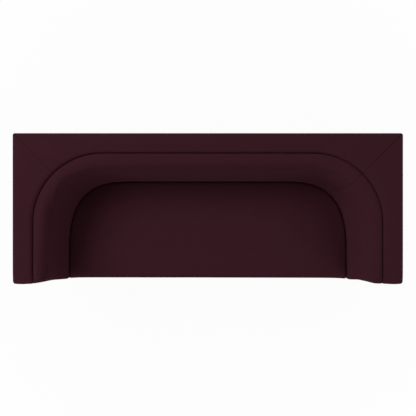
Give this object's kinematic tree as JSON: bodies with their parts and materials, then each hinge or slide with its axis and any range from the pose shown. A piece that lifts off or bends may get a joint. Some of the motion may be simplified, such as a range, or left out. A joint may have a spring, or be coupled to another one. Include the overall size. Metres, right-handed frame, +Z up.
{
  "type": "sofa",
  "caption": "Long upholstered sofa with a straight outer case, a flat mitred rim, a curved sloping pad that runs round the back and both arms, and a bench seat.",
  "frame": {"origin": "on the floor, under the middle of the sofa's outline", "axes": "+X along the sofa, to the right as seen from the front; +Y from the front to the back; +Z up"},
  "size_m": [2, 0.772, 0.7],
  "materials": {
    "cloth": "matte wine-red wool cloth",
    "foam": "open-cell foam",
    "webbing": "woven elastic webbing",
    "steel": "bright zinc-plated",
    "black_wood": "black stained, satin",
    "plywood": "raw birch plywood",
    "timber": "raw planed softwood",
    "nylon": "matte moulded nylon",
    "dust_cloth": "black non-woven cloth"
  },
  "bodies": {
    "root": {"back_border": "cloth", "back_cleat": "timber", "back_outside_panel": "cloth", "back_pad_cover": "cloth", "back_pad_foam": "foam", "back_ribs": "plywood", "back_wall": "plywood", "base_back_rail": "plywood", "base_front_rail": "plywood", "base_left_rail": "plywood", "base_middle_rail": "plywood", "base_right_rail": "plywood", "centre_stretcher": "timber", "deck_board": "plywood", "deck_legs": "timber", "deck_screws": "steel", "dust_cover": "dust_cloth", "front_apron": "cloth", "front_beam": "timber", "front_panel": "plywood", "glide_nails": "steel", "glides": "nylon", "inner_liner": "plywood", "left_arm_ribs": "plywood", "left_beam": "timber", "left_border": "cloth", "left_cleat": "timber", "left_corner_former": "plywood", "left_corner_post": "timber", "left_outside_panel": "cloth", "left_pad_cover": "cloth", "left_pad_foam": "foam", "left_wall": "plywood", "plinth_back": "black_wood", "plinth_corner_blocks": "black_wood", "plinth_front": "black_wood", "plinth_left": "black_wood", "plinth_middle": "black_wood", "plinth_right": "black_wood", "plinth_screws": "steel", "rear_beam": "timber", "right_arm_ribs": "plywood", "right_beam": "timber", "right_border": "cloth", "right_cleat": "timber", "right_corner_former": "plywood", "right_corner_post": "timber", "right_outside_panel": "cloth", "right_pad_cover": "cloth", "right_pad_foam": "foam", "right_wall": "plywood", "rim_board": "plywood", "rim_screws": "steel", "seat_cover": "cloth", "seat_foam": "foam", "seat_webbing": "webbing"}
  },
  "joints": []
}
